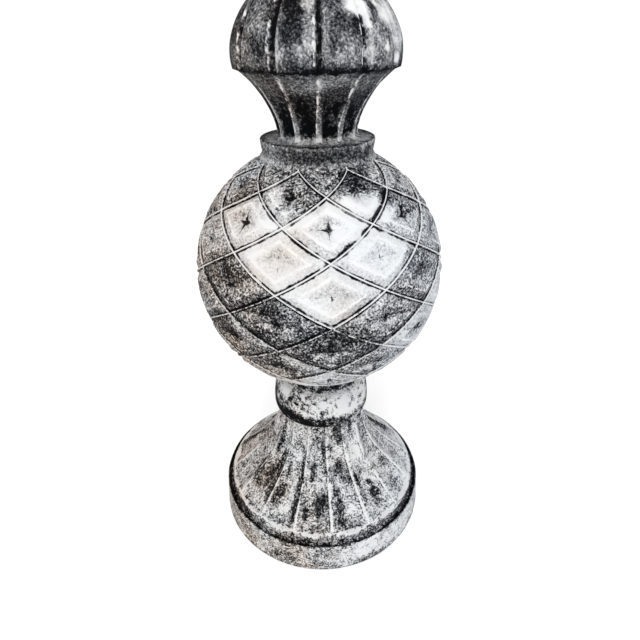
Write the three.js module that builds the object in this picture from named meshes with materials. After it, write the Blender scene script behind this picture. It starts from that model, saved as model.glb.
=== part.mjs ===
// A garden finial cast in one piece: a round plinth with a fluted skirt, a roll,
// a ball with a diamond lattice, a collar, and a lobed bud on a fluted neck.
// Millimetres, +Z up. The origin is the middle of the underside, and the front,
// where a crossing of the lattice lies on the centre line, looks towards -Y.

import * as THREE from 'three';

// Plinth
const PLINTH_FOOT_RADIUS = 123.2;
const PLINTH_TOP_RADIUS = 121.2;
const PLINTH_HEIGHT = 36.8;
const PLINTH_EDGE = 1.6;
const GROOVE_WIDTH = 5.6;
const GROOVE_DEPTH = 2.2;

// Skirt, from its lip to the crease under the roll
const LIP_HEIGHT = 6.6;
const SKIRT_HEIGHT = 105;
const CREASE_RADIUS = 48;
const SKIRT_FLUTES = 16;
const SKIRT_FLUTE_DEPTH = 5.5;
const SKIRT_RIB_SHARE = 0.09;
const SKIRT_TURN_DEG = 2;

// Roll, and the throat between it and the ball
const ROLL_HEIGHT = 41;
const ROLL_BULGE = 7.8;
const THROAT_RADIUS = 43;
const THROAT_HEIGHT = 21;

// Ball, measured over the ridges of its panels
const BALL_RADIUS = 120;
const LATTICE_COUNT = 8;
const LATTICE_ROWS = 5;
const LATTICE_STEP_DEG = 90 / 7;
const RIB_WIDTH = 5;
const RIB_DROP = 0.4;
const PANEL_FLOOR_DROP = 2.2;
const PANEL_RIDGE_SHARE = 0.6;
const PANEL_CENTRE_DROP = 3.8;

// Collar
const COLLAR_FOOT_RADIUS = 49.2;
const COLLAR_RADIUS = 50.5;
const COLLAR_HEIGHT = 16.8;
const COLLAR_EDGE = 1.2;

// Neck and bud
const NECK_RADIUS = 35.2;
const NECK_HEIGHT = 54;
const NECK_FLUTE_DEPTH = 4;
const BUD_EDGE_RADIUS = 67.4;
const BUD_HEIGHT = 112;
const BUD_OVERHANG = 3.2;
const LOBES = 12;
const LOBE_CHANNEL_SHARE = 0.12;
const LOBE_CHANNEL_DEPTH = 4.2;
const BUD_TURN_DEG = -2.8;

// Facets
const PLINTH_SIDES = 64;
const ROLL_SIDES = 48;

const TURN = 2 * Math.PI;
const radians = THREE.MathUtils.degToRad;

// Every ring of points starts at this azimuth, so that neighbours start side by side.
const START = -Math.PI / LATTICE_COUNT;

const points = [];
const faces = [];

// Azimuth 0 looks towards -Y and grows towards +X.
function addPoint(azimuth, radius, height) {
  points.push(radius * Math.sin(azimuth), -radius * Math.cos(azimuth), height);
  return points.length / 3 - 1;
}

// A chain is a row of points that run anticlockwise, each with its place along the row.
// The strip between two chains is filled, the second chain lying on the left of the first.
function stitch(first, second) {
  let i = 0;
  let j = 0;
  while (i < first.length - 1 || j < second.length - 1) {
    const nextFirst = i < first.length - 1 ? first[i + 1].at : Infinity;
    const nextSecond = j < second.length - 1 ? second[j + 1].at : Infinity;
    if (nextFirst <= nextSecond) {
      faces.push(first[i].id, first[i + 1].id, second[j].id);
      i += 1;
    } else {
      faces.push(first[i].id, second[j + 1].id, second[j].id);
      j += 1;
    }
  }
}

function closed(chain) {
  return [...chain, { at: chain[0].at + TURN, id: chain[0].id }];
}

// A ring at one height through spots of azimuth and radius.
function ring(height, spots) {
  const chain = spots.map(([azimuth, radius]) => {
    const at = START + THREE.MathUtils.euclideanModulo(azimuth - START + 1e-9, TURN);
    return { at, id: addPoint(azimuth, radius, height) };
  });
  return closed(chain.sort((a, b) => a.at - b.at));
}

function turned(height, sides, radius) {
  return ring(height, Array.from({ length: sides }, (_, i) => [(i * TURN) / sides + START, radius]));
}

// The places across one flute or lobe, from the middle of one rib to the next.
function placesAcross(ribShare) {
  return [0, ribShare, 0.3, 0.5, 0.7, 1 - ribShare];
}

// A ring of equal flutes or lobes, whose radius depends on the place across each.
function carved(height, count, turn, ribShare, radiusAt) {
  const spots = [];
  for (let i = 0; i < count; i += 1) {
    for (const across of placesAcross(ribShare)) {
      spots.push([((i + across) * TURN) / count + turn, radiusAt(across)]);
    }
  }
  return ring(height, spots);
}

// How hollow a flute is: 0 on the rib, 1 in the middle.
function hollow(across, ribShare) {
  const fromMiddle = Math.abs(across - 0.5) / (0.5 - ribShare);
  return fromMiddle >= 1 ? 0 : 1 - fromMiddle ** 2;
}

function curve(start, startPull, endPull, end) {
  return new THREE.CubicBezierCurve(...[start, startPull, endPull, end].map((p) => new THREE.Vector2(...p)));
}

function stack(rings) {
  for (let i = 1; i < rings.length; i += 1) {
    stitch(rings[i - 1], rings[i]);
  }
}

// Heights of the parts above the ground, each on the one below.
const lipZ = PLINTH_HEIGHT + LIP_HEIGHT;
const creaseZ = lipZ + SKIRT_HEIGHT;
const rollTopZ = creaseZ + ROLL_HEIGHT;
const latticeEdge = radians(LATTICE_ROWS * LATTICE_STEP_DEG);
const ballZ = rollTopZ + THROAT_HEIGHT + BALL_RADIUS * Math.sin(latticeEdge);
const collarZ = ballZ + BALL_RADIUS * Math.sin(latticeEdge);
const neckZ = collarZ + COLLAR_HEIGHT;
const budZ = neckZ + NECK_HEIGHT;
const lipRadius = PLINTH_TOP_RADIUS - PLINTH_EDGE - GROOVE_WIDTH;

function plinthRings() {
  const grooveZ = PLINTH_HEIGHT - GROOVE_DEPTH;
  const outline = [
    [PLINTH_FOOT_RADIUS - PLINTH_EDGE, 0],
    [PLINTH_FOOT_RADIUS, PLINTH_EDGE],
    [PLINTH_TOP_RADIUS, PLINTH_HEIGHT - PLINTH_EDGE],
    [PLINTH_TOP_RADIUS - PLINTH_EDGE, PLINTH_HEIGHT],
    [PLINTH_TOP_RADIUS - PLINTH_EDGE - GROOVE_WIDTH / 5, grooveZ],
    [lipRadius + GROOVE_WIDTH / 5, PLINTH_HEIGHT],
  ];
  return outline.map(([radius, z]) => turned(z, PLINTH_SIDES, radius));
}

// The skirt's flutes start in a drooping curve above the lip and grow shallow towards the crease.
function skirtRings() {
  const run = lipRadius - CREASE_RADIUS;
  const side = curve(
    [lipRadius, lipZ],
    [CREASE_RADIUS + 0.48 * run, lipZ + 0.35 * SKIRT_HEIGHT],
    [CREASE_RADIUS + 0.08 * run, lipZ + 0.44 * SKIRT_HEIGHT],
    [CREASE_RADIUS, creaseZ],
  );
  return [0, 0.02, 0.05, 0.2, 0.4, 0.6, 0.8, 1].map((t) => {
    const { x: radius, y: z } = side.getPoint(t);
    const taper = SKIRT_FLUTE_DEPTH * (1 - 0.6 * t);
    return carved(z, SKIRT_FLUTES, radians(SKIRT_TURN_DEG), SKIRT_RIB_SHARE, (across) => {
      const inFlute = hollow(across, SKIRT_RIB_SHARE);
      const opened = THREE.MathUtils.smoothstep(t, 0, 0.05 - 0.03 * inFlute);
      return radius - taper * inFlute * opened;
    });
  });
}

function rollRings() {
  return [-70, -45, -15, 15, 45, 75, 90].map((degrees) => {
    const angle = radians(degrees);
    const rise = (1 + Math.sin(angle)) / 2;
    const core = THREE.MathUtils.lerp(CREASE_RADIUS, THROAT_RADIUS, rise);
    return turned(creaseZ + ROLL_HEIGHT * rise, ROLL_SIDES, core + ROLL_BULGE * Math.sqrt(Math.cos(angle)));
  });
}

// The lattice: ribs cross at every other point of a grid of half steps, and a panel
// with a raised diamond and a sunken middle fills each gap between them.
const HALF_STEP = Math.PI / LATTICE_COUNT;
const ribPoints = new Map();
const ribFootAt = 1 - RIB_WIDTH / (BALL_RADIUS * HALF_STEP);

function ballPoint(row, column, drop) {
  const latitude = radians(row * LATTICE_STEP_DEG);
  const radius = BALL_RADIUS - drop;
  const id = addPoint(column * HALF_STEP, radius * Math.cos(latitude), ballZ + radius * Math.sin(latitude));
  return { at: column * HALF_STEP, id };
}

// Neighbouring panels share the points along the rib between them.
function ribPoint(row, column) {
  const key = `${row} ${THREE.MathUtils.euclideanModulo(column, 2 * LATTICE_COUNT)}`;
  if (!ribPoints.has(key)) {
    ribPoints.set(key, ballPoint(row, column, RIB_DROP).id);
  }
  return { at: column * HALF_STEP, id: ribPoints.get(key) };
}

// One diamond around the middle of a panel, as eight points or, at the lattice's edge, five.
// The size is 1 on the rib; quarters counts the quarter diamonds, from the one at the right.
function diamond(row, column, size, drop, firstQuarter, quarters) {
  const chain = [];
  for (let i = 0; i <= 2 * quarters; i += 1) {
    const around = firstQuarter + i / 2;
    const x = 1 - Math.abs(((around + 2) % 4) - 2);
    const y = 1 - Math.abs(((around + 1) % 4) - 2);
    const place = [row + size * y, column + size * x];
    const point = size === 1 ? ribPoint(...place) : ballPoint(...place, drop);
    chain.push({ id: point.id, azimuth: point.at, at: around });
  }
  if (quarters === 4) {
    chain[8].id = chain[0].id;
  }
  return chain;
}

function panel(row, column, firstQuarter, quarters) {
  const rings = [
    diamond(row, column, 1, RIB_DROP, firstQuarter, quarters),
    diamond(row, column, ribFootAt, PANEL_FLOOR_DROP, firstQuarter, quarters),
    diamond(row, column, PANEL_RIDGE_SHARE, 0, firstQuarter, quarters),
  ];
  const middle = ballPoint(row, column, PANEL_CENTRE_DROP);
  stack([...rings, [{ id: middle.id, at: firstQuarter }]]);
  return { rings, middle };
}

// The level edge of the lattice: the cut faces of the half panels, side by side.
function edgeOfLattice(row, firstQuarter) {
  const chain = [];
  for (let column = 0; column < 2 * LATTICE_COUNT; column += 2) {
    const { rings, middle } = panel(row, column + ((row + 1) % 2), firstQuarter, 2);
    const ends = rings.flatMap((ends) => [ends[0], ends[ends.length - 1]]);
    const across = [...ends.map(({ id, azimuth }) => ({ id, at: azimuth })), middle];
    across.sort((a, b) => a.at - b.at);
    chain.push(...across.slice(0, -1));
  }
  return closed(chain);
}

function ball() {
  for (let row = 1 - LATTICE_ROWS; row < LATTICE_ROWS; row += 1) {
    for (let column = 0; column < 2 * LATTICE_COUNT; column += 2) {
      panel(row, column + Math.abs((row + 1) % 2), 0, 4);
    }
  }
  return { foot: edgeOfLattice(-LATTICE_ROWS, 0), top: edgeOfLattice(LATTICE_ROWS, 2) };
}

function throatRings() {
  const latticeRadius = BALL_RADIUS * Math.cos(latticeEdge);
  const spread = THREE.MathUtils.lerp(THROAT_RADIUS, latticeRadius, 0.35);
  return [
    turned(rollTopZ + 0.45 * THROAT_HEIGHT, ROLL_SIDES, THROAT_RADIUS),
    turned(rollTopZ + 0.8 * THROAT_HEIGHT, ROLL_SIDES, spread),
  ];
}

function collarRings() {
  const outline = [
    [COLLAR_FOOT_RADIUS + COLLAR_EDGE, 0.2 * COLLAR_HEIGHT],
    [COLLAR_FOOT_RADIUS, 0.32 * COLLAR_HEIGHT],
    [COLLAR_RADIUS, COLLAR_HEIGHT - COLLAR_EDGE],
    [COLLAR_RADIUS - COLLAR_EDGE, COLLAR_HEIGHT],
  ];
  return outline.map(([radius, up]) => turned(collarZ + up, ROLL_SIDES, radius));
}

function neckRings() {
  const turn = radians(BUD_TURN_DEG);
  const topRadius = BUD_EDGE_RADIUS - BUD_OVERHANG;
  const run = topRadius - NECK_RADIUS;
  const side = curve(
    [NECK_RADIUS, neckZ + 2],
    [NECK_RADIUS - 0.05 * run, neckZ + 0.29 * NECK_HEIGHT],
    [NECK_RADIUS + 0.47 * run, neckZ + 0.755 * NECK_HEIGHT],
    [topRadius, budZ - BUD_OVERHANG / 2],
  );
  const foot = carved(neckZ + 0.3, LOBES, turn, LOBE_CHANNEL_SHARE, () => NECK_RADIUS + 2.5);
  const rings = [0, 0.2, 0.4, 0.6, 0.8, 1].map((t) => {
    const { x: radius, y: z } = side.getPoint(t);
    const depth = NECK_FLUTE_DEPTH * (1 - THREE.MathUtils.smoothstep(t, 0.5, 1));
    return carved(z, LOBES, turn, LOBE_CHANNEL_SHARE, (across) => (
      radius - depth * hollow(across, LOBE_CHANNEL_SHARE)
    ));
  });
  return [foot, ...rings];
}

// The lobes close in a drawn-out point, with a narrow channel between each two.
function budRings() {
  const turn = radians(BUD_TURN_DEG);
  const shoulder = [0.808 * BUD_EDGE_RADIUS, budZ + 0.388 * BUD_HEIGHT];
  const tip = [0.09 * BUD_EDGE_RADIUS, budZ + 0.93 * BUD_HEIGHT];
  const belly = curve(
    [BUD_EDGE_RADIUS, budZ],
    [1.052 * BUD_EDGE_RADIUS, budZ + 0.147 * BUD_HEIGHT],
    [0.95 * BUD_EDGE_RADIUS, budZ + 0.286 * BUD_HEIGHT],
    shoulder,
  );
  const crown = curve(
    shoulder,
    [0.6 * BUD_EDGE_RADIUS, budZ + 0.53 * BUD_HEIGHT],
    [0.14 * BUD_EDGE_RADIUS, budZ + 0.72 * BUD_HEIGHT],
    tip,
  );
  const side = [
    ...[0, 0.3, 0.6].map((t) => belly.getPoint(t)),
    ...[0, 0.25, 0.5, 0.75].map((t) => crown.getPoint(t)),
  ];
  const rings = side.map(({ x: radius, y: z }) => {
    const depth = (LOBE_CHANNEL_DEPTH * radius) / BUD_EDGE_RADIUS;
    return carved(z, LOBES, turn, LOBE_CHANNEL_SHARE, (across) => (
      across === 0 ? radius - depth : radius + 0.25 * depth * hollow(across, LOBE_CHANNEL_SHARE)
    ));
  });
  const { x: tipRadius, y: tipZ } = crown.getPoint(1);
  return [...rings, turned(tipZ, LOBES, tipRadius)];
}

const { foot: latticeFoot, top: latticeTop } = ball();
const base = [...plinthRings(), ...skirtRings(), ...rollRings(), ...throatRings(), latticeFoot];
const head = [latticeTop, ...collarRings(), ...neckRings(), ...budRings()];
const underside = [{ at: START, id: addPoint(0, 0, 0) }];
const peak = [{ at: START, id: addPoint(0, 0, budZ + BUD_HEIGHT) }];
stack([underside, ...base]);
stack([...head, peak]);

const geometry = new THREE.BufferGeometry();
geometry.setAttribute('position', new THREE.Float32BufferAttribute(points, 3));
geometry.setIndex(faces);
geometry.computeVertexNormals();

const castStone = new THREE.MeshStandardMaterial({ color: 0x8e9092, roughness: 0.92, metalness: 0 });
const finial = new THREE.Mesh(geometry, castStone);
finial.name = 'finial';

const model = new THREE.Group();
model.name = 'garden_finial';
model.add(finial);

export default model;
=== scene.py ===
import math

import bpy
from mathutils import Matrix, Vector, noise


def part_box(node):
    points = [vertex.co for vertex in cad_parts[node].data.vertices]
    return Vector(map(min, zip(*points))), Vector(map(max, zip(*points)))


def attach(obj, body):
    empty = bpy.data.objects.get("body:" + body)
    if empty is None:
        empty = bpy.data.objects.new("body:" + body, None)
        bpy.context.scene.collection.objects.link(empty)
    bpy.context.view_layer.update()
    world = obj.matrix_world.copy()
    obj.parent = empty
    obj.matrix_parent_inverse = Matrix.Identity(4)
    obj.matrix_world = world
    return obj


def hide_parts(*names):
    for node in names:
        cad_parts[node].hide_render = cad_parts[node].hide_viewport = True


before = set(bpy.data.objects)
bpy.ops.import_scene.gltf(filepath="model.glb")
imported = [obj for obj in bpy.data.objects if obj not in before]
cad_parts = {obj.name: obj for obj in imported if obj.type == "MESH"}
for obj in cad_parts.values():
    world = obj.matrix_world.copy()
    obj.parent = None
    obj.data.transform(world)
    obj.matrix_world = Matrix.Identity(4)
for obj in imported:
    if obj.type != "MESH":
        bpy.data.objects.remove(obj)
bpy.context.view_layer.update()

# Sizes

# The carving is worked out in millimetres and turned into metres when the mesh is made.
# The foot's radius and the height come from the finial part in model.glb, the rest are the solid's own
# sizes.
MM = 0.001
_, finial_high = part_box("finial")
FOOT_RADIUS = finial_high.x / MM
HEIGHT = finial_high.z / MM

PLINTH_TOP_RADIUS = 121.2
PLINTH_HEIGHT = 36.8
PLINTH_EDGE = 1.6
GROOVE_WIDTH = 5.6
GROOVE_DEPTH = 2.2

LIP_HEIGHT = 6.6
SKIRT_HEIGHT = 105
CREASE_RADIUS = 48
SKIRT_FLUTES = 16
SKIRT_FLUTE_DEPTH = 5.5
SKIRT_RIB_SHARE = 0.09
SKIRT_TURN = math.radians(2)

ROLL_HEIGHT = 41
ROLL_BULGE = 7.8
THROAT_RADIUS = 43
THROAT_HEIGHT = 21

BALL_RADIUS = 120
LATTICE_COUNT = 8
LATTICE_ROWS = 5
LATTICE_STEP = math.radians(90 / 7)
HALF_STEP = math.pi / LATTICE_COUNT
RIB_DROP = 0.4
PANEL_FLOOR_DROP = 2.2
PANEL_RIDGE = 0.6
PANEL_CENTRE_DROP = 3.8

COLLAR_FOOT_RADIUS = 49.2
COLLAR_RADIUS = 50.5
COLLAR_HEIGHT = 16.8
COLLAR_EDGE = 1.2

NECK_RADIUS = 35.2
NECK_HEIGHT = 54
NECK_FLUTE_DEPTH = 4
BUD_EDGE_RADIUS = 67.4
BUD_OVERHANG = 3.2
LOBES = 12
LOBE_CHANNEL_SHARE = 0.12
LOBE_CHANNEL_DEPTH = 4.2
BUD_TURN = math.radians(-2.8)

LIP_RADIUS = PLINTH_TOP_RADIUS - PLINTH_EDGE - GROOVE_WIDTH
LIP_Z = PLINTH_HEIGHT + LIP_HEIGHT
CREASE_Z = LIP_Z + SKIRT_HEIGHT
ROLL_TOP_Z = CREASE_Z + ROLL_HEIGHT
LATTICE_EDGE = LATTICE_ROWS * LATTICE_STEP
BALL_Z = ROLL_TOP_Z + THROAT_HEIGHT + BALL_RADIUS * math.sin(LATTICE_EDGE)
COLLAR_Z = BALL_Z + BALL_RADIUS * math.sin(LATTICE_EDGE)
NECK_Z = COLLAR_Z + COLLAR_HEIGHT
BUD_Z = NECK_Z + NECK_HEIGHT
BUD_HEIGHT = HEIGHT - BUD_Z

# How deep the soft lumps of the casting go, and how far the skirt's ribs are raised.
PLINTH_WEAR = 0.35
SKIRT_WEAR = 0.35
SKIRT_CREST = 0.5
ROLL_WEAR = 0.3
BALL_WEAR = 0.25
COLLAR_WEAR = 0.25
NECK_WEAR = 0.2
BUD_WEAR = 0.2

# The finer relief of a panel.
GUTTER_DEPTH = 0.5
RIDGE_SOFTENING = 0.25
STAR_DEPTH = 0.6

# How finely the rows are cut: points round a row, and steps up a profile.
PLINTH_POINTS = 272
ROLL_POINTS = 208
THROAT_POINTS = 176
COLLAR_POINTS = 176
TIP_POINTS = 36
SKIRT_STEPS = 33
ROLL_STEPS = 24
NECK_STEPS = 26
BELLY_STEPS = 15
CROWN_STEPS = 20

# All rows start at the same azimuth, a panel's left corner.
TURN = 2 * math.pi
START = -HALF_STEP


# Small maths

def mix(a, b, t):
    return a + (b - a) * t


def smooth(x, low, high):
    """0 below low, 1 above high, with a soft run between; low may be the larger."""
    t = min(1, max(0, (x - low) / (high - low)))
    return t * t * (3 - 2 * t)


def bump(x, middle, width):
    """1 at the middle, falling softly to 0 at a width to either side."""
    return 1 - smooth(abs(x - middle), 0, width)


def bezier(points, t):
    """The spot at t, from 0 to 1, on the curve of four control points."""
    a, b, c, d = (Vector(p) for p in points)
    return (1 - t) ** 3 * a + 3 * (1 - t) ** 2 * t * b + 3 * (1 - t) * t * t * c + t ** 3 * d


def rough(azimuth, radius, height, size):
    """Soft noise over the surface, from -1 to 1, with lumps of the given size."""
    spot = Vector((radius * math.sin(azimuth), -radius * math.cos(azimuth), height)) / size
    return noise.fractal(spot, 1.0, 2.0, 3)


def patches(table, azimuth, height):
    """What the patches of thick or thin wash add at a spot; each is an azimuth in degrees,
    a height, its half sizes in degrees and millimetres, and the wash that it adds."""
    degrees = math.degrees((azimuth + math.pi) % TURN - math.pi)
    ragged = 1 + 0.6 * noise.fractal(Vector((degrees / 8, height / 8, 1.7)), 1.0, 2.0, 3)
    added = 0
    for middle, level, half_width, half_height, amount in table:
        away = math.hypot((degrees - middle) / half_width, (height - level) / half_height)
        if away < 2:
            added += amount * smooth(away * ragged, 1.2, 0.6)
    return added


# The skin

# One closed mesh of rows of points, stitched side by side. Each point carries three tones:
# wash, how much limewash lies there, lessened by painted shade on the ball's facets and on
# the roll's underside and raised by painted light on the upward facets of dark panels; line,
# a worn white edge, and a painted highlight along the ridges of the ball's panels; shade, dark
# paint left in a crease, with painted shade in the gutters, the plinth's groove, the throat,
# under the roll and at the skirt's top.

class Skin:
    def __init__(self):
        self.points = []
        self.faces = []
        self.tones = []

    def add(self, azimuth, radius, height, tones):
        self.points.append((radius * math.sin(azimuth), -radius * math.cos(azimuth), height))
        self.tones.append(tones)
        return len(self.points) - 1

    def stitch(self, first, second):
        """Fills the strip between two chains of (place, point), the second on the left."""
        i = j = 0
        while i < len(first) - 1 or j < len(second) - 1:
            next_first = first[i + 1][0] if i < len(first) - 1 else math.inf
            next_second = second[j + 1][0] if j < len(second) - 1 else math.inf
            if next_first <= next_second:
                self.faces.append((first[i][1], first[i + 1][1], second[j][1]))
                i += 1
            else:
                self.faces.append((first[i][1], second[j + 1][1], second[j][1]))
                j += 1

    def stack(self, chains):
        for below, above in zip(chains, chains[1:]):
            self.stitch(below, above)


def closed(chain):
    return chain + [(chain[0][0] + TURN, chain[0][1])]


def ring(skin, azimuths, spot_at):
    """A row right round: spot_at(azimuth, index) gives radius, height and tones."""
    chain = []
    for index, azimuth in enumerate(azimuths):
        place = START + (azimuth - START + 1e-9) % TURN
        chain.append((place, skin.add(azimuth, *spot_at(azimuth, index))))
    return closed(sorted(chain))


def even(count):
    return [START + i * TURN / count for i in range(count)]


def across_places(rib_share, fine, coarse):
    """Places across one flute, 0 on the middle of a rib: fine on the rib, coarse in the flute."""
    rib = [rib_share * i / fine for i in range(fine + 1)] + [rib_share * 1.25]
    inner = [mix(rib_share * 1.25, 0.5, i / coarse) for i in range(1, coarse + 1)]
    half = rib + inner
    return half + [1 - x for x in reversed(half[1:-1])]


def hollow(across, rib_share):
    """How deep a flute is at a place across it: 0 at the ribs and 1 in the middle."""
    from_middle = abs(across - 0.5) / (0.5 - rib_share)
    return max(0, 1 - from_middle ** 2)


def from_rib(across):
    """The place across, counted from the nearest rib and negative to the rib's left."""
    return across - 1 if across > 0.5 else across


# Plinth and groove

PLINTH_PATCHES = [
    (-62, 18, 16, 16, -0.08), (-27, 16, 9, 12, -0.16), (-42, 14, 8, 12, 0.12), (-11, 8, 12, 8, 0.12),
    (-4, 6, 8, 9, -0.2), (14, 24, 13, 14, 0.3), (45, 20, 22, 24, 0.26), (24, 4, 14, 6, -0.12),
    (140, 18, 30, 20, 0.2),
]


def band_tone(azimuth):
    """How fully the dark of the ledge, dark paint with painted shade of the groove, is laid on: solid at
    the sides, broken in front and behind.
    """
    return smooth(abs(math.sin(azimuth + 0.08)), 0.45, 0.85)


def plinth(skin):
    groove_z = PLINTH_HEIGHT - GROOVE_DEPTH
    rim = PLINTH_TOP_RADIUS - PLINTH_EDGE
    side = []
    for t in (0.12, 0.25, 0.4, 0.55, 0.7, 0.85):
        height = mix(PLINTH_EDGE, PLINTH_HEIGHT - PLINTH_EDGE, t)
        side.append((mix(FOOT_RADIUS, PLINTH_TOP_RADIUS, t), height, 0.64, 0, 0))
    outline = [  # radius, height, wash, line, shade
        (FOOT_RADIUS - PLINTH_EDGE, 0, 0.3, 0, 0.3),
        (FOOT_RADIUS - 0.4 * PLINTH_EDGE, 0.3 * PLINTH_EDGE, 0.35, 0, 0.2),
        (FOOT_RADIUS, PLINTH_EDGE, 0.48, 0, 0),
        *side,
        (PLINTH_TOP_RADIUS, PLINTH_HEIGHT - PLINTH_EDGE, 0.6, 0.05, 0),
        (PLINTH_TOP_RADIUS - 0.3 * PLINTH_EDGE, PLINTH_HEIGHT - 0.4 * PLINTH_EDGE, 0.5, 0.1, 0.25),
        (PLINTH_TOP_RADIUS - 0.7 * PLINTH_EDGE, PLINTH_HEIGHT - 0.1 * PLINTH_EDGE, 0.35, 0, 0.6),
        (rim - 0.1 * GROOVE_WIDTH, PLINTH_HEIGHT - 0.5, 0.2, 0, 0.95),
        (rim - 0.25 * GROOVE_WIDTH, groove_z + 0.2, 0.15, 0, 1),
        (rim - 0.45 * GROOVE_WIDTH, groove_z, 0.25, 0, 0.7),
        (rim - 0.65 * GROOVE_WIDTH, groove_z + 0.4, 0.4, 0, 0.5),
        (rim - 0.85 * GROOVE_WIDTH, PLINTH_HEIGHT - 0.8, 0.45, 0, 0.4),
        (LIP_RADIUS + 0.5, PLINTH_HEIGHT + 1.2, 0.5, 0, 0.4),
        (LIP_RADIUS + 0.3, LIP_Z - 3, 0.5, 0, 0.25),
        (LIP_RADIUS + 0.2, LIP_Z - 1.2, 0.5, 0, 0.1),
    ]
    rows = []
    for radius, height, wash, line, shade in outline:
        in_band = radius < PLINTH_TOP_RADIUS - PLINTH_EDGE / 2 and height > groove_z - 1

        def spot(azimuth, _index):
            worn = PLINTH_WEAR * (1 + rough(azimuth, radius, height, 30))
            band = band_tone(azimuth) * in_band
            broken = mix(0.65, 0.85, band) + 1.2 * rough(azimuth, radius, height, 6)
            # The dark in and beside the groove is dark paint and painted shade of the groove.
            dark = max(shade * (1 - 0.35 * band), 0.5 * band) * broken
            laid = patches(PLINTH_PATCHES, azimuth, height) if not in_band else -0.1 * band
            return radius - worn * (height > PLINTH_EDGE), height, (wash + laid, line, dark)
        rows.append(ring(skin, even(PLINTH_POINTS), spot))
    return rows


# Skirt

# The length of the slope. Heights in the skirt's patches are measured down it from the crease.
SKIRT_SLOPE = 125

SKIRT_PATCHES = [
    (-47.3, 72, 3, 36, -0.85), (-24.4, 72, 2.8, 36, -0.9), (-62, 25, 3, 25, -0.5),
    (-68, 72, 4, 18, -0.42), (-56, 68, 6, 11, -0.42), (-39, 85, 4.2, 15, -0.45),
    (-38.5, 52, 2.4, 12, -0.42), (-16.5, 98, 2, 16, -0.7), (-14, 48, 2.4, 12, -0.5),
    (-8, 92, 1.8, 12, -0.6), (47, 62, 3, 12, -0.45), (-52, 46, 2.2, 20, -0.5),
    (8, 95, 2.6, 22, -0.75), (16, 8, 6.5, 8, -0.75), (37.4, 12, 4.5, 12, -0.45),
    (26.8, 66, 1.7, 14, -0.75), (20.3, 58, 1.5, 12, -0.65), (38, 92, 4.5, 12, -0.85),
    (-2.8, 25, 2.6, 16, -0.45), (12, 46, 6.5, 9, -0.36), (-4, 80, 4, 12, -0.36),
    (61, 15, 7, 15, -0.31), (62, 75, 5, 10, -0.36), (55, 102, 7, 9, -0.22),
    (14.5, 31, 7, 9, 0.27), (33, 36, 10, 11, 0.31), (46, 18, 7, 10, 0.27),
    (13.5, 96, 4.5, 12, 0.27), (-52, 106, 8, 10, 0.18), (-33, 96, 6, 12, 0.22),
    (-22, 15, 7, 10, 0.18), (-8, 56, 4, 12, 0.13), (49, 62, 9, 15, 0.18),
    (110, 75, 3, 28, -0.55), (134, 50, 4, 22, -0.45), (156, 88, 3.4, 20, -0.55),
    (-110, 88, 3.2, 25, -0.55), (-134, 62, 3, 25, -0.45), (-160, 38, 4.2, 20, -0.45),
    (178, 62, 3, 20, -0.45), (122, 100, 8, 12, 0.22), (-148, 94, 9, 12, 0.22),
]


def skirt(skin):
    run = LIP_RADIUS - CREASE_RADIUS
    side = [
        (LIP_RADIUS, LIP_Z),
        (CREASE_RADIUS + 0.48 * run, LIP_Z + 0.35 * SKIRT_HEIGHT),
        (CREASE_RADIUS + 0.08 * run, LIP_Z + 0.44 * SKIRT_HEIGHT),
        (CREASE_RADIUS, CREASE_Z),
    ]
    places = across_places(SKIRT_RIB_SHARE, 3, 7)
    azimuths = [(i + x) * TURN / SKIRT_FLUTES + SKIRT_TURN for i in range(SKIRT_FLUTES) for x in places]
    steps = [0, 0.006, 0.012, 0.018, 0.025, 0.033, 0.042, 0.055, 0.075]
    steps += [0.1 + 0.9 * i / SKIRT_STEPS for i in range(SKIRT_STEPS + 1)]
    rows = []
    for t in steps:
        radius, z = bezier(side, t)
        taper = SKIRT_FLUTE_DEPTH * (1 - 0.6 * t)
        down = SKIRT_SLOPE * (1 - t ** 0.8)

        def spot(azimuth, index):
            across = places[index % len(places)]
            beside = from_rib(across)
            in_flute = hollow(across, SKIRT_RIB_SHARE)
            end = 0.034 - 0.02 * in_flute
            opened = smooth(t, end - 0.012, end + 0.004)
            crest = 1 - smooth(abs(beside), 0.6 * SKIRT_RIB_SHARE, SKIRT_RIB_SHARE)
            lump = rough(azimuth, radius, z, 22)
            depth = taper * in_flute ** 0.8 * opened + SKIRT_WEAR * (1 + lump)
            depth -= SKIRT_CREST * crest * smooth(t, 0.02, 0.1)
            broken = 0.95 + 0.6 * rough(azimuth, radius, z, 18)
            left_edge = bump(beside, -0.7 * SKIRT_RIB_SHARE, 0.06)
            line = 1.5 * left_edge * smooth(t, 0.015, 0.04) * (1 - 0.6 * t)
            lip = 1.5 * bump(t, end - 0.007, 0.009)
            under_lip = 0.4 * bump(t, end + 0.006, 0.01) * in_flute ** 0.3
            foot_of_rib = bump(beside, -1.35 * SKIRT_RIB_SHARE, 0.05) * opened
            wash = 0.59 + 0.06 * crest + 0.2 * rough(azimuth, radius, z, 26)
            wash += 0.12 * rough(azimuth, radius, z, 8)
            wash += patches(SKIRT_PATCHES, azimuth, down) + 0.18 * smooth(math.sin(azimuth), 0.3, 0.7)
            wash = max(wash, 0.16)
            # The last term, dark at the skirt's top where it runs in under the roll, is painted shadow.
            shade = 0.55 * foot_of_rib * smooth(t, 0.05, 0.2) + under_lip + 0.7 * bump(t, 1, 0.03)
            shade = max(shade, 0.4 * band_tone(azimuth) * smooth(t, 0.014, 0.004))
            return radius - depth, z, (wash, max(line, lip) * broken, shade)
        rows.append(ring(skin, azimuths, spot))
    return rows


# Roll and throat

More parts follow.
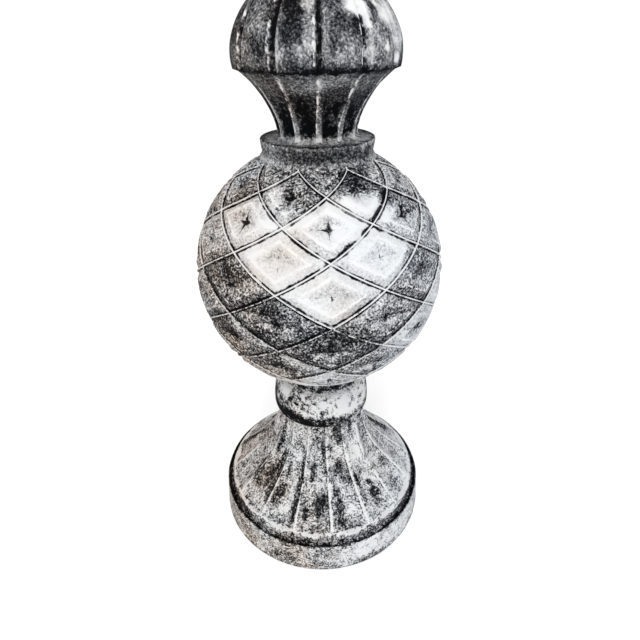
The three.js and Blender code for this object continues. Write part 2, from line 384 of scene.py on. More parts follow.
ROLL_PATCHES = [
    (-80, 20, 16, 26, -0.5), (-62, 14, 14, 12, -0.5), (-40, 14, 14, 7, -0.45), (84, 22, 9, 26, -0.55),
    (-34, 31, 12, 5, -0.35), (2, 26, 2, 10, -0.45), (9, 22, 1.6, 8, -0.4), (24, 28, 16, 12, 0.2),
    (52, 30, 4, 10, -0.3), (-62, 26, 10, 12, -0.3), (-46, 28, 4, 12, -0.4), (70, 24, 6, 20, -0.45),
    (150, 20, 30, 16, 0.2), (-140, 14, 14, 10, -0.35), (120, 30, 10, 8, -0.3),
]


def roll(skin):
    rows = []
    for i in range(1, ROLL_STEPS):
        angle = mix(-math.pi / 2, math.pi / 2, i / ROLL_STEPS)
        rise = (1 + math.sin(angle)) / 2
        core = mix(CREASE_RADIUS, THROAT_RADIUS, rise)
        up = ROLL_HEIGHT * rise

        def spot(azimuth, _index):
            radius = core + ROLL_BULGE * math.cos(angle) ** 0.5
            lump = rough(azimuth, radius, up, 18)
            flake = rough(azimuth, radius, up, 5)
            # under darkens the roll's underside in both wash and shade: dark paint with painted shade in
            # the crease below it, fainter on the right.
            under = smooth(rise, 0.44 + 0.16 * lump + 0.12 * flake, 0.26)
            under *= mix(1, 0.6, smooth(math.sin(azimuth), 0.15, 0.6))
            wash = 0.87 + 0.5 * lump + 0.8 * flake - 0.3 * under + patches(ROLL_PATCHES, azimuth, up)
            return radius - ROLL_WEAR * (1 + lump), CREASE_Z + up, (wash, 0, 0.85 * under)
        rows.append(ring(skin, even(ROLL_POINTS), spot))
    return rows


def throat(skin):
    lattice_radius = BALL_RADIUS * math.cos(LATTICE_EDGE)
    # The throat's shade is painted shade, darkest low down by the roll's top, in the narrow gap under
    # the ball.
    outline = [  # share of the height, share of the way out to the ball, shade
        (0.05, 0, 0.8), (0.3, 0, 0.8), (0.5, 0.03, 0.7),
        (0.65, 0.12, 0.4), (0.8, 0.35, 0.1), (0.92, 0.7, 0),
    ]
    rows = []
    for up, out, shade in outline:
        radius = mix(THROAT_RADIUS, lattice_radius, out)
        height = ROLL_TOP_Z + up * THROAT_HEIGHT

        def spot(azimuth, _index):
            return radius, height, (0.75, 0, shade * (0.8 + rough(azimuth, radius, height, 12)))
        rows.append(ring(skin, even(THROAT_POINTS), spot))
    return rows


# Ball

# Limewash on the panels in front, by row above the equator and by half steps from the front.
PANEL_WASH = {
    (5, 0): 0.65, (5, -2): 0.5, (5, 2): 0.6,
    (4, -3): 0.5, (4, -1): 0.55, (4, 1): 0.52, (4, 3): 0.65,
    (3, -4): 0.5, (3, -2): 0.85, (3, 0): 0.93, (3, 2): 0.75,
    (2, -3): 0.62, (2, -1): 0.95, (2, 1): 0.9, (2, 3): 0.6,
    (1, -4): 0.55, (1, -2): 0.35, (1, 0): 0.93, (1, 2): 0.5,
    (0, -3): 0.45, (0, -1): 0.22, (0, 1): 0.42, (0, 3): 0.75,
    (-1, -2): 0.32, (-1, 0): 0.22, (-1, 2): 0.78,
    (-2, -3): 0.5, (-2, -1): 0.42, (-2, 1): 0.52, (-2, 3): 0.75,
    (-3, -2): 0.6, (-3, 0): 0.6, (-3, 2): 0.75,
}

# The same in patches across the panels; heights are measured from the ball's middle.
BALL_PATCHES = [
    (22, 104, 20, 9, -0.3), (22, 84, 18, 9, 0.45), (6, 89, 8, 6, 0.2), (37, 88, 6, 12, -0.3),
    (-22, 104, 18, 8, -0.12), (-34, 90, 8, 9, 0.3), (-22, 80, 12, 7, 0.3), (-9, 92, 8, 7, -0.15),
    (45, 88, 10, 6, -0.3), (54, 78, 8, 9, -0.25), (-45, 92, 14, 6, -0.1), (40, 42, 8, 14, -0.2),
    (17, 20, 9, 12, -0.12), (-33, 30, 9, 7, 0.2), (-45, 38, 10, 8, -0.15), (-32, 3, 7, 5, 0.22),
    (-22, 14, 10, 5, -0.15), (20, 12, 8, 5, 0.18), (0, -12, 10, 9, -0.12), (-12, -20, 9, 8, 0.06),
    (22, -16, 12, 5, -0.12), (60, -6, 12, 24, 0.12), (44, -28, 7, 6, -0.25), (-52, -16, 7, 9, -0.15),
    (-20, -48, 14, 9, -0.12), (12, -46, 14, 9, -0.06), (-35, 60, 7, 12, 0.06),
    (-24, -4, 2.5, 3, 0.3), (-18, -9, 4, 2, 0.25), (-38, -6, 8, 3, 0.2), (30, -2, 7, 3, 0.2),
    (4, -22, 8, 2.5, 0.2), (-6, -66, 16, 5, 0.2), (20, -62, 14, 5, -0.2), (-30, -62, 10, 5, 0.15),
]

# How strongly dark paint and painted shade in the gutters outline some of the panels in front:
# their sides, anticlockwise from the lower right.
PANEL_SIDES = {
    (3, 0): (2, 1.3, 0.7, 0.4), (4, 1): (2.2, 0.7, 0.5, 0.8), (3, 2): (0.5, 0.8, 1.2, 0.9),
    (2, 1): (0.4, 1.4, 0.6, 0.6), (2, -1): (0.8, 1, 0.6, 0.5), (1, 0): (0.7, 0.9, 0.6, 0.7),
    (0, -1): (0.5, 1, 0.4, 0.4), (0, 1): (0.4, 0.5, 1, 0.3), (1, -2): (0.9, 0.5, 0.4, 0.5),
    (3, -2): (0.8, 1.2, 0.9, 0.7), (4, -1): (0.9, 0.8, 0.5, 1.0),
}

# Size of the dark star in the middle of some of the panels in front.
PANEL_STAR = {
    (3, 0): 1, (4, -1): 1.1, (3, -2): 1, (3, 2): 1.3, (4, -3): 0.7, (4, 1): 0, (2, 1): 0.2,
    (2, -1): 0, (1, 0): 0.3, (1, -2): 0.5, (1, 2): 0.4, (0, -1): 0.6, (0, 1): 0.5, (-1, 0): 0.5,
}


def front_column(column):
    """The same column counted from the front, to either side."""
    return (column + LATTICE_COUNT - 1) % (2 * LATTICE_COUNT) - LATTICE_COUNT + 1


def panel_wash(row, column):
    """The panels behind are washed in the same way: strongly above the equator, thinly below."""
    column = front_column(column)
    chance = noise.noise(Vector((row * 0.73, column * 0.61, 4.2)))
    usual = 0.5 + 0.25 * bump(row, 2.5, 2.5) + 0.14 * smooth(row, -1, -3) + 0.4 * chance
    return PANEL_WASH.get((row, column), usual)


def wash_beside(row, column):
    """The mean wash of the panels that meet at a spot on a rib."""
    found = []
    for r in range(math.floor(row) - 1, math.ceil(row) + 2):
        for c in range(math.floor(column) - 1, math.ceil(column) + 2):
            if (r + c) % 2 and abs(row - r) + abs(column - c) < 1.05 and abs(r) <= LATTICE_ROWS:
                found.append(panel_wash(r, c))
    return sum(found) / len(found) if found else 0.5


# Diamonds inside each panel: size, 1 on the rib, and the number of points along a side.
DIAMONDS = [
    (1, 13), (0.982, 13), (0.966, 13), (0.95, 13), (0.93, 13), (0.905, 11), (0.865, 10),
    (0.79, 9), (0.7, 9), (0.65, 9), (0.61, 9), (0.58, 9), (0.54, 8), (0.47, 8), (0.39, 8),
    (0.3, 7), (0.21, 5), (0.13, 4), (0.05, 2),
]


def panel_drop(size, x, y):
    """How far the panel lies under the ball's radius."""
    rib = (PANEL_FLOOR_DROP - RIB_DROP) * (1 - smooth(1 - size, 0.012, 0.042))
    gutter = GUTTER_DEPTH * bump(size, 0.948, 0.03)
    slope = PANEL_FLOOR_DROP * smooth(size, PANEL_RIDGE - 0.02, 0.97) if size > PANEL_RIDGE else 0
    soft_ridge = RIDGE_SOFTENING * bump(size, PANEL_RIDGE, 0.05)
    dish = PANEL_CENTRE_DROP * max(0, 1 - size / PANEL_RIDGE) ** 1.1
    star = STAR_DEPTH * bump(min(abs(x), abs(y)), 0, 0.04) * smooth(size, 0.42, 0.2)
    return slope + gutter - rib + soft_ridge + dish + star


def star_tone(row, column, x, y, uneven, white):
    """A dark star of four hollow-sided points, longest up and down; broad and faint in a dark panel."""
    scale = PANEL_STAR.get((row, front_column(column)), 0.6) * (1 + 0.3 * uneven) * mix(1.7, 1, white)
    across, along = abs(x), abs(y)
    star = 0
    if scale > 0.05:
        star = smooth(math.sqrt(across / (0.2 * scale)) + math.sqrt(along / (0.42 * scale)), 1.15, 0.75)
    crease = bump(min(across, along), 0, 0.02) * smooth(max(across, along), 0.4, 0.15)
    return max(star * mix(0.5, 1, white), 0.35 * crease * (0.6 + uneven))


def gutter_tone(row, column, side, size, azimuth, height):
    """Dark paint and painted shade in the gutter beside a rib, wide and full where the side is strongly
    outlined.
    """
    usual = mix(0.25, 0.6, smooth(row, -0.5, 1.5))
    strengths = PANEL_SIDES.get((row, front_column(column)), (usual,) * 4)
    strength = max(0, strengths[(side + 1) % 4] * (1 + 1.1 * rough(azimuth, BALL_RADIUS, height, 11)))
    width = 0.03 + 0.05 * strength
    return smooth(abs(size - 0.95), width, 0.3 * width) * min(1, 0.25 + 0.8 * strength)


def facet_shading(row, column, side, size, lower, white, uneven):
    """Painted shade and light on a facet of the dish or the frame, as wash taken away: most
    shade where it faces down, painted light on the upward facets of a dark panel, and some
    chance tone in a dark panel too."""
    if size < PANEL_RIDGE:
        facet, facing_down = bump(size, 0.3, 0.32), 1 - lower
    else:
        facet, facing_down = bump(size, 0.8, 0.32) * (0.7 + 0.8 * uneven), lower
    chance = noise.noise(Vector((row * 1.37, front_column(column) * 0.91, 7.3 + 2.1 * side)))
    return facet * mix(0.32 * facing_down - 0.14 + 0.45 * chance, 0.08 + 0.09 * facing_down, white)


def panel_tones(row, column, size, x, y, azimuth, height, uneven):
    """The three tones of a spot in a panel; x and y run from its middle, 1 at its corners."""
    wash = panel_wash(row, column) + patches(BALL_PATCHES, azimuth, height)
    crest = 1 - smooth(1 - size, 0.018, 0.036)
    if crest > 0:
        wash = mix(wash, wash_beside(row + y, column + x), crest)
    side = int(math.atan2(y, x) // (math.pi / 2)) % 4
    white = smooth(wash, 0.35, 0.85)
    lower = smooth(y, 0.1, -0.1)
    line = crest * mix(0.65, 1.15, smooth(wash, 0.3, 0.7))
    # A painted highlight along each panel's ridge, brightest on its lower sides, which face up to the
    # light.
    line += 0.7 * bump(size, PANEL_RIDGE, 0.07) * mix(0.15 + 0.55 * lower, mix(0.6, 1, lower), white)
    # Painted shade on the facets that face down, and painted light on the upward facets of a dark panel.
    wash -= facet_shading(row, column, side, size, lower, white, uneven)
    gutter = gutter_tone(row, column, side, size, azimuth, height)
    star = star_tone(row, column, x, y, uneven, white)
    return wash, line, max(gutter, 0.95 * star) * (1 - 0.5 * crest)


class Ball:
    """The lattice ball, made of diamond panels that share the points on their ribs."""

    def __init__(self, skin):
        self.skin = skin
        self.rib_points = {}

    def point(self, row, column, size, x, y):
        latitude, azimuth = (row + y) * LATTICE_STEP, (column + x) * HALF_STEP
        key = (round(row + y, 4), round((column + x) % (2 * LATTICE_COUNT), 4))
        on_rib = size == 1
        if on_rib and key in self.rib_points:
            return azimuth, self.rib_points[key]
        uneven = rough(azimuth, BALL_RADIUS * math.cos(latitude), BALL_RADIUS * math.sin(latitude), 16)
        radius = BALL_RADIUS - panel_drop(size, x, y) - BALL_WEAR * (1 + uneven)
        height = radius * math.sin(latitude)
        tones = panel_tones(row, column, size, x, y, azimuth, height, uneven)
        made = self.skin.add(azimuth, radius * math.cos(latitude), BALL_Z + height, tones)
        if on_rib:
            self.rib_points[key] = made
        return azimuth, made

    def diamond(self, row, column, size, per_side, first_side, sides):
        """One diamond of a panel, anticlockwise from the corner where first_side starts."""
        chain, azimuths = [], []
        for i in range(per_side * sides + 1):
            around = first_side + i / per_side
            if size < 0.5:
                around -= 0.13 * math.sin(TURN * around)
            x = 1 - abs((around + 2) % 4 - 2)
            y = 1 - abs((around + 1) % 4 - 2)
            azimuth, made = self.point(row, column, size, size * x, size * y)
            if sides == 4 and i == per_side * sides:
                made = chain[0][1]
            chain.append((around, made))
            azimuths.append(azimuth)
        return chain, azimuths

    def panel(self, row, column, first_side=0, sides=4):
        made = [self.diamond(row, column, size, n, first_side, sides) for size, n in DIAMONDS]
        middle = self.point(row, column, 0, 0, 0)
        self.skin.stack([chain for chain, _ in made] + [[(first_side, middle[1])]])
        ends = [(azimuths[k], chain[k][1]) for chain, azimuths in made for k in (0, -1)]
        return sorted(ends + [middle])

    def edge(self, row, first_side):
        """Half panels along the top or bottom row; gives back their level edge, right round."""
        chain = []
        for column in range(0, 2 * LATTICE_COUNT, 2):
            chain += self.panel(row, column, first_side, 2)[:-1]
        return closed(chain)

    def build(self):
        for row in range(1 - LATTICE_ROWS, LATTICE_ROWS):
            for column in range(0, 2 * LATTICE_COUNT, 2):
                self.panel(row, column + (row + 1) % 2)
        return self.edge(-LATTICE_ROWS, 0), self.edge(LATTICE_ROWS, 2)


# Collar

COLLAR_PATCHES = [
    (-70, 10, 24, 12, 0.12), (72, 10, 22, 12, 0.22), (-8, 8, 20, 8, -0.06), (58, 17, 22, 3, 0.15),
    (160, 10, 40, 10, 0.15),
]


def collar(skin):
    outline = [  # radius, share of the height, wash, line, shade
        (COLLAR_FOOT_RADIUS + 2.2, 0.1, 0.52, 0, 0),
        (COLLAR_FOOT_RADIUS + 1, 0.2, 0.42, 0, 0),
        (COLLAR_FOOT_RADIUS + 0.2, 0.3, 0.3, 0, 0),
        (COLLAR_FOOT_RADIUS, 0.4, 0.27, 0, 0.05),
        (mix(COLLAR_FOOT_RADIUS, COLLAR_RADIUS, 0.35), 0.55, 0.26, 0, 0.05),
        (mix(COLLAR_FOOT_RADIUS, COLLAR_RADIUS, 0.7), 0.75, 0.25, 0, 0.05),
        (COLLAR_RADIUS, 0.92, 0.34, 0.1, 0),
        (COLLAR_RADIUS - 0.35 * COLLAR_EDGE, 0.98, 0.32, 0.12, 0.3),
        (COLLAR_RADIUS - COLLAR_EDGE, 1, 0.25, 0, 0.5),
        (COLLAR_RADIUS - 4, 0.99, 0.32, 0, 0.2),
        (COLLAR_RADIUS - 8, 1, 0.4, 0, 0),
    ]
    rows = []
    for radius, share, wash, line, shade in outline:
        up = share * COLLAR_HEIGHT

        def spot(azimuth, _index):
            worn = COLLAR_WEAR * (1 + rough(azimuth, radius, up, 14))
            laid = patches(COLLAR_PATCHES, azimuth, up)
            return radius - worn, COLLAR_Z + up, (wash + laid, line, shade)
        rows.append(ring(skin, even(COLLAR_POINTS), spot))
    return rows


# Neck and bud

LOBE_PLACES = across_places(LOBE_CHANNEL_SHARE, 4, 6)
LOBE_AZIMUTHS = [(i + x) * TURN / LOBES + BUD_TURN for i in range(LOBES) for x in LOBE_PLACES]

NECK_PATCHES = [
    (-20, 42, 20, 6, 0.1), (10, 47, 20, 5, 0.16), (36, 44, 8, 8, 0.12), (-50, 36, 10, 12, 0.1),
    (14, 3, 20, 3, 0.2), (-30, 3, 20, 3, 0.25), (58, 4, 20, 5, 0.35), (22, 20, 7, 10, 0.12),
]


def neck(skin):
    top_radius = BUD_EDGE_RADIUS - BUD_OVERHANG
    run = top_radius - NECK_RADIUS
    side = [
        (NECK_RADIUS, NECK_Z + 2),
        (NECK_RADIUS - 0.05 * run, NECK_Z + 0.29 * NECK_HEIGHT),
        (NECK_RADIUS + 0.47 * run, NECK_Z + 0.755 * NECK_HEIGHT),
        (top_radius, BUD_Z - BUD_OVERHANG / 2),
    ]
    rows = []
    for out, up in ((3.2, 0.1), (1.8, 0.6)):
        def foot(azimuth, _index):
            return NECK_RADIUS + out, NECK_Z + up, (0.45 + patches(NECK_PATCHES, azimuth, up), 0, 0)
        rows.append(ring(skin, LOBE_AZIMUTHS, foot))
    for i in range(NECK_STEPS + 1):
        t = i / NECK_STEPS
        radius, z = bezier(side, t)
        up = z - NECK_Z
        share = mix(0.14, 0.05, smooth(t, 0.1, 0.8))

        def spot(azimuth, index):
            across = LOBE_PLACES[index % len(LOBE_PLACES)]
            beside = from_rib(across)
            in_flute = hollow(across, LOBE_CHANNEL_SHARE)
            fade = 1 - smooth(t, 0.4, 0.9)
            bare = 1 - smooth(t, 0.35, 0.75)
            uneven = rough(azimuth, radius, z, 12)
            depth = NECK_FLUTE_DEPTH * in_flute ** 0.7 * fade + NECK_WEAR * (1 + uneven)
            rib = 1 - smooth(abs(beside), 0.7 * share, share + 0.02)
            flake = rough(azimuth, radius, z, 4)
            edge = bump(beside, -0.75 * share, 0.055) * (0.65 + 0.5 * uneven + 2.2 * flake)
            edge *= 1 - smooth(t, 0.8, 1)
            crust = smooth(t, 0.08, 0)
            wash = mix(0.2, 0.5, rib * (1 - 0.4 * t)) + 0.2 * crust + 0.1 * smooth(t, 0.6, 0.85)
            wash += patches(NECK_PATCHES, azimuth, up)
            shade = (0.62 + 0.3 * uneven) * in_flute ** 0.4 * bare * (1 - 0.8 * crust) * (1 - rib)
            shade += 0.4 * smooth(t, 0.97, 1)
            return radius - depth, z, (wash, 1.35 * max(0, edge), shade)
        rows.append(ring(skin, LOBE_AZIMUTHS, spot))
    return rows


# Heights are measured from the lobes' lower edge.
BUD_PATCHES = [
    (24, 50, 8, 14, 0.7), (30, 36, 6, 9, 0.5), (18, 44, 7, 11, 0.3), (-10, 46, 5, 10, 0.4),
    (-9, 26, 4, 16, 0.15), (-12, 12, 7, 10, 0.15), (14, 14, 16, 10, 0.12), (44, 16, 14, 24, 0.25),
    (-26, 44, 4, 18, 0.12), (28, 22, 6, 18, 0.15), (-28, 16, 5, 14, 0.12), (50, 40, 8, 16, 0.35),
    (-20, 34, 9, 26, -0.18), (-20, 24, 8, 12, -0.08), (14, 34, 8, 8, -0.07), (-45, 36, 10, 16, 0.1),
    (62, 34, 12, 28, 0.42), (110, 40, 12, 20, 0.4), (150, 20, 16, 12, 0.15), (-100, 44, 10, 16, 0.35),
    (-150, 30, 14, 20, 0.2),
]


def bud(skin):
    shoulder = (0.808 * BUD_EDGE_RADIUS, BUD_Z + 0.388 * BUD_HEIGHT)
    tip = (0.09 * BUD_EDGE_RADIUS, BUD_Z + 0.93 * BUD_HEIGHT)
    belly = [
        (BUD_EDGE_RADIUS, BUD_Z),
        (1.052 * BUD_EDGE_RADIUS, BUD_Z + 0.147 * BUD_HEIGHT),
        (0.95 * BUD_EDGE_RADIUS, BUD_Z + 0.286 * BUD_HEIGHT),
        shoulder,
    ]
    crown = [
        shoulder,
        (0.6 * BUD_EDGE_RADIUS, BUD_Z + 0.53 * BUD_HEIGHT),
        (0.14 * BUD_EDGE_RADIUS, BUD_Z + 0.72 * BUD_HEIGHT),
        tip,
    ]
    belly_steps = [0, 0.015, 0.04] + [0.04 + 0.96 * i / BELLY_STEPS for i in range(1, BELLY_STEPS)]
    side = [(bezier(belly, t), t) for t in belly_steps]
    side += [(bezier(crown, i / CROWN_STEPS), 1) for i in range(CROWN_STEPS)]
    rows = []
    for (radius, z), t in side:
        up = z - BUD_Z

        def spot(azimuth, index):
            across = LOBE_PLACES[index % len(LOBE_PLACES)]
            beside = from_rib(across)
            uneven = rough(azimuth, radius, z, 16)
            inside = 1 - smooth(abs(beside), 0.1 * LOBE_CHANNEL_SHARE, 1.1 * LOBE_CHANNEL_SHARE)
            depth = LOBE_CHANNEL_DEPTH * radius / BUD_EDGE_RADIUS
            fill = 0.25 * hollow(across, LOBE_CHANNEL_SHARE)
            flake = rough(azimuth, radius, z, 4)
            left = bump(beside, -0.9 * LOBE_CHANNEL_SHARE, 0.045)
            left *= max(0, 0.6 + 0.5 * uneven + 2 * flake)
            right = bump(beside, 0.95 * LOBE_CHANNEL_SHARE, 0.06)
            wash = 0.26 + 0.2 * rough(azimuth, radius, z, 26) + 0.2 * rough(azimuth, radius, z, 10)
            wash += patches(BUD_PATCHES, azimuth, up)
            wash += 0.16 * right - 0.16 * smooth(up, 5, 1)
            dark = smooth(abs(beside + 0.01), 0.07, 0.03) * mix(0.4, 1, smooth(up, 4, 22))
            shade = 0.9 * dark * (0.8 + 0.5 * uneven) + 0.45 * smooth(t, 0.03, 0)
            worn = BUD_WEAR * (1 + uneven)
            return radius - depth * (inside - fill) - worn, z, (wash, 0.8 * left, shade)
        rows.append(ring(skin, LOBE_AZIMUTHS, spot))
    tip_radius, tip_z = bezier(crown, 1)
    rows.append(ring(skin, even(TIP_POINTS), lambda _azimuth, _index: (tip_radius, tip_z, (0.5, 0, 0))))
    rows.append(ring(skin, even(TIP_POINTS // 2), lambda _azimuth, _index: (
        0.62 * tip_radius, mix(tip_z, HEIGHT, 0.75), (0.5, 0, 0))))
    return rows


# The piece

def build_finial():
    skin = Skin()
    ball_foot, ball_top = Ball(skin).build()
    underside = [(START, skin.add(0, 0, 0, (0.3, 0, 0)))]
    peak = [(START, skin.add(0, 0, HEIGHT, (0.5, 0, 0)))]
    skin.stack([underside, *plinth(skin), *skirt(skin), *roll(skin), *throat(skin), ball_foot])
    skin.stack([ball_top, *collar(skin), *neck(skin), *bud(skin), peak])
    mesh = bpy.data.meshes.new("limewashed_finial")
    mesh.from_pydata([tuple(MM * c for c in p) for p in skin.points], [], skin.faces)
    for k, name in enumerate(("wash", "line", "shade")):
        layer = mesh.attributes.new(name, "FLOAT", "POINT")
        layer.data.foreach_set("value", [tones[k] for tones in skin.tones])
    mesh.shade_smooth()
    piece = bpy.data.objects.new("limewashed_finial", mesh)
    bpy.context.scene.collection.objects.link(piece)
    print("triangles in the finial:", len(skin.faces))
    return piece


# Materials

class Nodes:
    """Short names for the shader nodes that the materials use."""

    def __init__(self, name):
        self.material = bpy.data.materials.new(name)
        self.material.use_nodes = True
        self.tree = self.material.node_tree
        self.shader = self.tree.nodes["Principled BSDF"]
        self.place = self.tree.nodes.new("ShaderNodeTexCoord").outputs["Object"]

    def link(self, source, socket):
        if isinstance(source, (int, float)):
            socket.default_value = source
        else:
            self.tree.links.new(source, socket)

    def math(self, operation, a, b=0.0, clamp=False):
        node = self.tree.nodes.new("ShaderNodeMath")
        node.operation = operation
        node.use_clamp = clamp
        self.link(a, node.inputs[0])
        self.link(b, node.inputs[1])
        return node.outputs[0]

    def noise(self, scale, detail=4, roughness=0.6, distortion=0.0):
        node = self.tree.nodes.new("ShaderNodeTexNoise")
        self.tree.links.new(self.place, node.inputs["Vector"])
        node.inputs["Scale"].default_value = scale
        node.inputs["Detail"].default_value = detail
        node.inputs["Roughness"].default_value = roughness
        node.inputs["Distortion"].default_value = distortion
        return node.outputs["Fac"]

    def swing(self, source, amount):
        """A noise of 0 to 1 as a swing about nothing."""
        return self.math("MULTIPLY", self.math("SUBTRACT", source, 0.5), amount)

    def tone(self, name):
        node = self.tree.nodes.new("ShaderNodeAttribute")
        node.attribute_name = name
        return node.outputs["Fac"]

    def ramp(self, source, stops):
        node = self.tree.nodes.new("ShaderNodeValToRGB")
        elements = node.color_ramp.elements
        while len(elements) < len(stops):
            elements.new(0.5)
        for element, (place, colour) in zip(elements, stops):
            element.position = place
            element.color = (*colour, 1)
        self.link(source, node.inputs["Fac"])
        return node.outputs["Color"]

    def mix(self, factor, a, b, blend="MIX"):
        node = self.tree.nodes.new("ShaderNodeMix")
        node.data_type = "RGBA"
        node.blend_type = blend
        self.link(factor, node.inputs["Factor"])
        self.tree.links.new(a, node.inputs["A"])
        self.tree.links.new(b, node.inputs["B"])
        return node.outputs["Result"]

    def bump(self, height, strength, distance):
        node = self.tree.nodes.new("ShaderNodeBump")
        node.inputs["Strength"].default_value = strength
        node.inputs["Distance"].default_value = distance
        self.link(height, node.inputs["Height"])
        self.tree.links.new(node.outputs["Normal"], self.shader.inputs["Normal"])


# From bare charcoal paint to full wash.
PAINT = [
    (0.0, (0.0016, 0.0018, 0.0024)),
    (0.12, (0.012, 0.0125, 0.014)),
    (0.25, (0.042, 0.043, 0.047)),
    (0.4, (0.095, 0.096, 0.1)),
    (0.55, (0.2, 0.2, 0.205)),
    (0.7, (0.352, 0.352, 0.357)),
    (0.85, (0.472, 0.472, 0.474)),
    (1.0, (0.55, 0.55, 0.55)),
]

# From brown dirt on the left side to a cooler wash on the right.
TINT = [(0.0, (1.0, 0.76, 0.56)), (0.45, (1.0, 0.985, 0.965)), (1.0, (0.86, 0.95, 1.04))]


def limewashed_stone():
    n = Nodes("limewashed_stone")
    blotch = n.noise(18, 3, 0.5)
    cloud = n.noise(85, 4, 0.6, 0.4)
    droplet = n.noise(200, 2, 0.5, 0.6)
    grain = n.noise(520, 4, 0.7)
    wash, line, shade = n.tone("wash"), n.tone("line"), n.tone("shade")
    axes = n.tree.nodes.new("ShaderNodeSeparateXYZ")
    n.tree.links.new(n.place, axes.inputs[0])

    def above(level, rise):
        """0 below a level in millimetres, then rising to 1, by so much per metre."""
        return n.math("MULTIPLY", n.math("SUBTRACT", axes.outputs["Z"], level * MM), rise, clamp=True)

    # The wash lies in grains, flakes and clouds: flaky up to the roll, finer on the ball and
    # softest above it, and calm where it is thick on the ball. The dark in the creases, dark
    # paint with painted shade, breaks up.
    ball_up = above(ROLL_TOP_Z, 50)
    collar_up = above(COLLAR_Z - 4, 120)
    low_calm = n.math("SUBTRACT", 1.6, n.math("MULTIPLY", wash, 0.8), clamp=True)
    ball_calm = n.math("SUBTRACT", 1.8, n.math("MULTIPLY", wash, 1.8), clamp=True)
    calm = n.math("ADD", low_calm, n.math("MULTIPLY", ball_up, n.math("SUBTRACT", ball_calm, low_calm)))
    flaky = n.math("SUBTRACT", 1, n.math("MULTIPLY", ball_up, 0.5))
    flaky = n.math("SUBTRACT", flaky, n.math("MULTIPLY", collar_up, 0.27))
    grainy = n.math("SUBTRACT", 1, n.math("MULTIPLY", collar_up, 0.48))
    flake = n.math("ADD", n.swing(droplet, 6), 0.5, clamp=True)
    speckle = n.math("ADD", n.swing(cloud, 1.3), n.swing(flake, 0.3))
    speckle = n.math("MULTIPLY", speckle, flaky)
    speckle = n.math("ADD", speckle, n.math("MULTIPLY", n.swing(grain, 3.7), grainy))
    speckle = n.math("MULTIPLY", speckle, calm)
    broken = n.math("ADD", n.swing(cloud, 1.5), n.swing(droplet, 3.2))
    crease = n.math("ADD", n.math("MULTIPLY", shade, 1.45), n.math("SUBTRACT", broken, 0.35), clamp=True)
    edge = n.math("ADD", n.math("MULTIPLY", line, 1.5), n.math("SUBTRACT", broken, 0.4), clamp=True)
    cover = n.math("ADD", wash, n.swing(blotch, 0.5))
    cover = n.math("ADD", cover, speckle)
    cover = n.math("ADD", cover, n.math("MULTIPLY", edge, 0.7))
    cover = n.math("SUBTRACT", cover, n.math("MULTIPLY", crease, 0.9), clamp=True)
    paint = n.ramp(cover, PAINT)

    # The tint shows in the darker paint.
    side = n.math("ADD", n.math("MULTIPLY", axes.outputs["X"], 4.2), n.swing(blotch, 1.4))
    side = n.math("ADD", side, 0.56, clamp=True)
    tinted = n.mix(1.0, paint, n.ramp(side, TINT), "MULTIPLY")
    colour = n.mix(n.math("SUBTRACT", 1.3, cover, clamp=True), paint, tinted)
    n.tree.links.new(colour, n.shader.inputs["Base Color"])

    roughness = n.math("ADD", 0.74, n.math("MULTIPLY", cover, 0.2))
    n.tree.links.new(roughness, n.shader.inputs["Roughness"])
    n.shader.inputs["Specular IOR Level"].default_value = 0.04
    crust = n.math("ADD", n.math("MULTIPLY", grain, 0.7), n.math("MULTIPLY", cover, 0.25))
    n.bump(crust, 0.5, 0.001)
    return n.material


def pale_floor():
    n = Nodes("pale_floor")
    n.shader.inputs["Base Color"].default_value = (0.97, 0.97, 0.97, 1)
    n.shader.inputs["Roughness"].default_value = 0.9
    n.shader.inputs["Specular IOR Level"].default_value = 0.1
    return n.material


# Camera, floor and light

# The camera was fitted to the photograph: its place is in ball radii from the middle of the
# ball, and its turn is against the finial's front.

IMAGE_WIDTH_PX = 640
FOCAL_PX = 488
SENSOR_MM = 36
CAMERA_DISTANCE = 3.723 * BALL_RADIUS * MM
CAMERA_ABOVE_BALL = 1.741 * BALL_RADIUS * MM
CAMERA_TURN = math.radians(-4.8)
CAMERA_PITCH = math.radians(31.35)
CAMERA_ROLL = math.radians(-0.8)

# Half the floor's side, in metres, so that its edge lies near the horizon.
FLOOR_REACH = 60


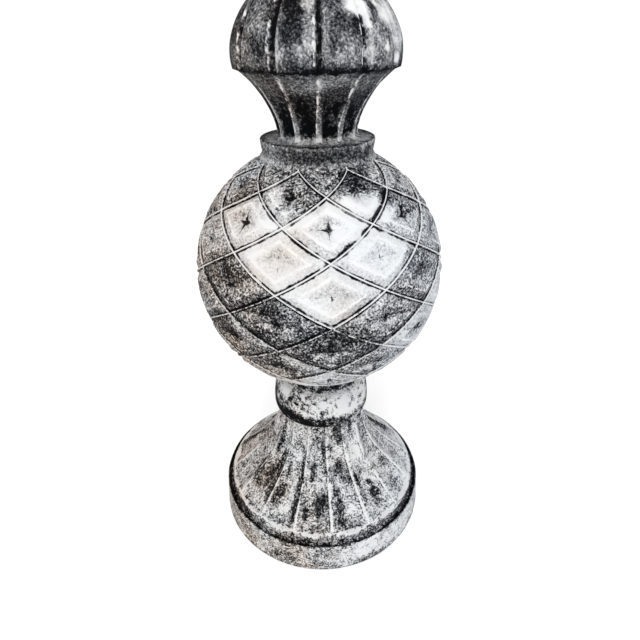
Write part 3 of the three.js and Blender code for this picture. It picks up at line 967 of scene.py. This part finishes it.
def make_camera():
    data = bpy.data.cameras.new("camera")
    data.sensor_width = SENSOR_MM
    data.lens = FOCAL_PX * SENSOR_MM / IMAGE_WIDTH_PX
    camera = bpy.data.objects.new("camera", data)
    bpy.context.scene.collection.objects.link(camera)
    round_axis = Matrix.Rotation(CAMERA_TURN, 4, "Z")
    stand = Matrix.Translation((0, -CAMERA_DISTANCE, BALL_Z * MM + CAMERA_ABOVE_BALL))
    aim = Matrix.Rotation(math.pi / 2 - CAMERA_PITCH, 4, "X") @ Matrix.Rotation(CAMERA_ROLL, 4, "Z")
    camera.matrix_world = round_axis @ stand @ aim
    bpy.context.scene.camera = camera


def make_floor():
    mesh = bpy.data.meshes.new("floor")
    reach = FLOOR_REACH
    corners = [(-reach, -reach, 0), (reach, -reach, 0), (reach, reach, 0), (-reach, reach, 0)]
    mesh.from_pydata(corners, [], [(0, 1, 2, 3)])
    floor = bpy.data.objects.new("floor", mesh)
    bpy.context.scene.collection.objects.link(floor)
    mesh.materials.append(pale_floor())


def make_light(name, azimuth, elevation, distance, size, power, colour):
    """A soft box that looks at the ball from an azimuth, -Y being 0, and an elevation in degrees."""
    data = bpy.data.lights.new(name, "AREA")
    data.shape = "DISK"
    data.size = size
    data.energy = power
    data.color = colour
    light = bpy.data.objects.new(name, data)
    bpy.context.scene.collection.objects.link(light)
    a, e = math.radians(azimuth), math.radians(elevation)
    away = Vector((math.sin(a) * math.cos(e), -math.cos(a) * math.cos(e), math.sin(e)))
    target = Vector((0, 0, BALL_Z * MM))
    light.location = target + distance * away
    light.rotation_mode = "QUATERNION"
    light.rotation_quaternion = away.to_track_quat("Z", "Y")


def make_sky():
    world = bpy.data.worlds.new("studio")
    world.use_nodes = True
    background = world.node_tree.nodes["Background"]
    background.inputs["Color"].default_value = (1, 1, 1, 1)
    background.inputs["Strength"].default_value = 1.04
    bpy.context.scene.world = world


finial = build_finial()
finial.data.materials.append(limewashed_stone())
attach(finial, "root")
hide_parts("finial")

make_camera()
make_floor()
make_sky()
make_light("key", -10, 55, 1.6, 0.7, 13, (1, 1, 1))
make_light("fill", 5, 6, 1.8, 1.2, 9, (1, 1, 1))
bpy.context.scene.view_settings.view_transform = "Standard"
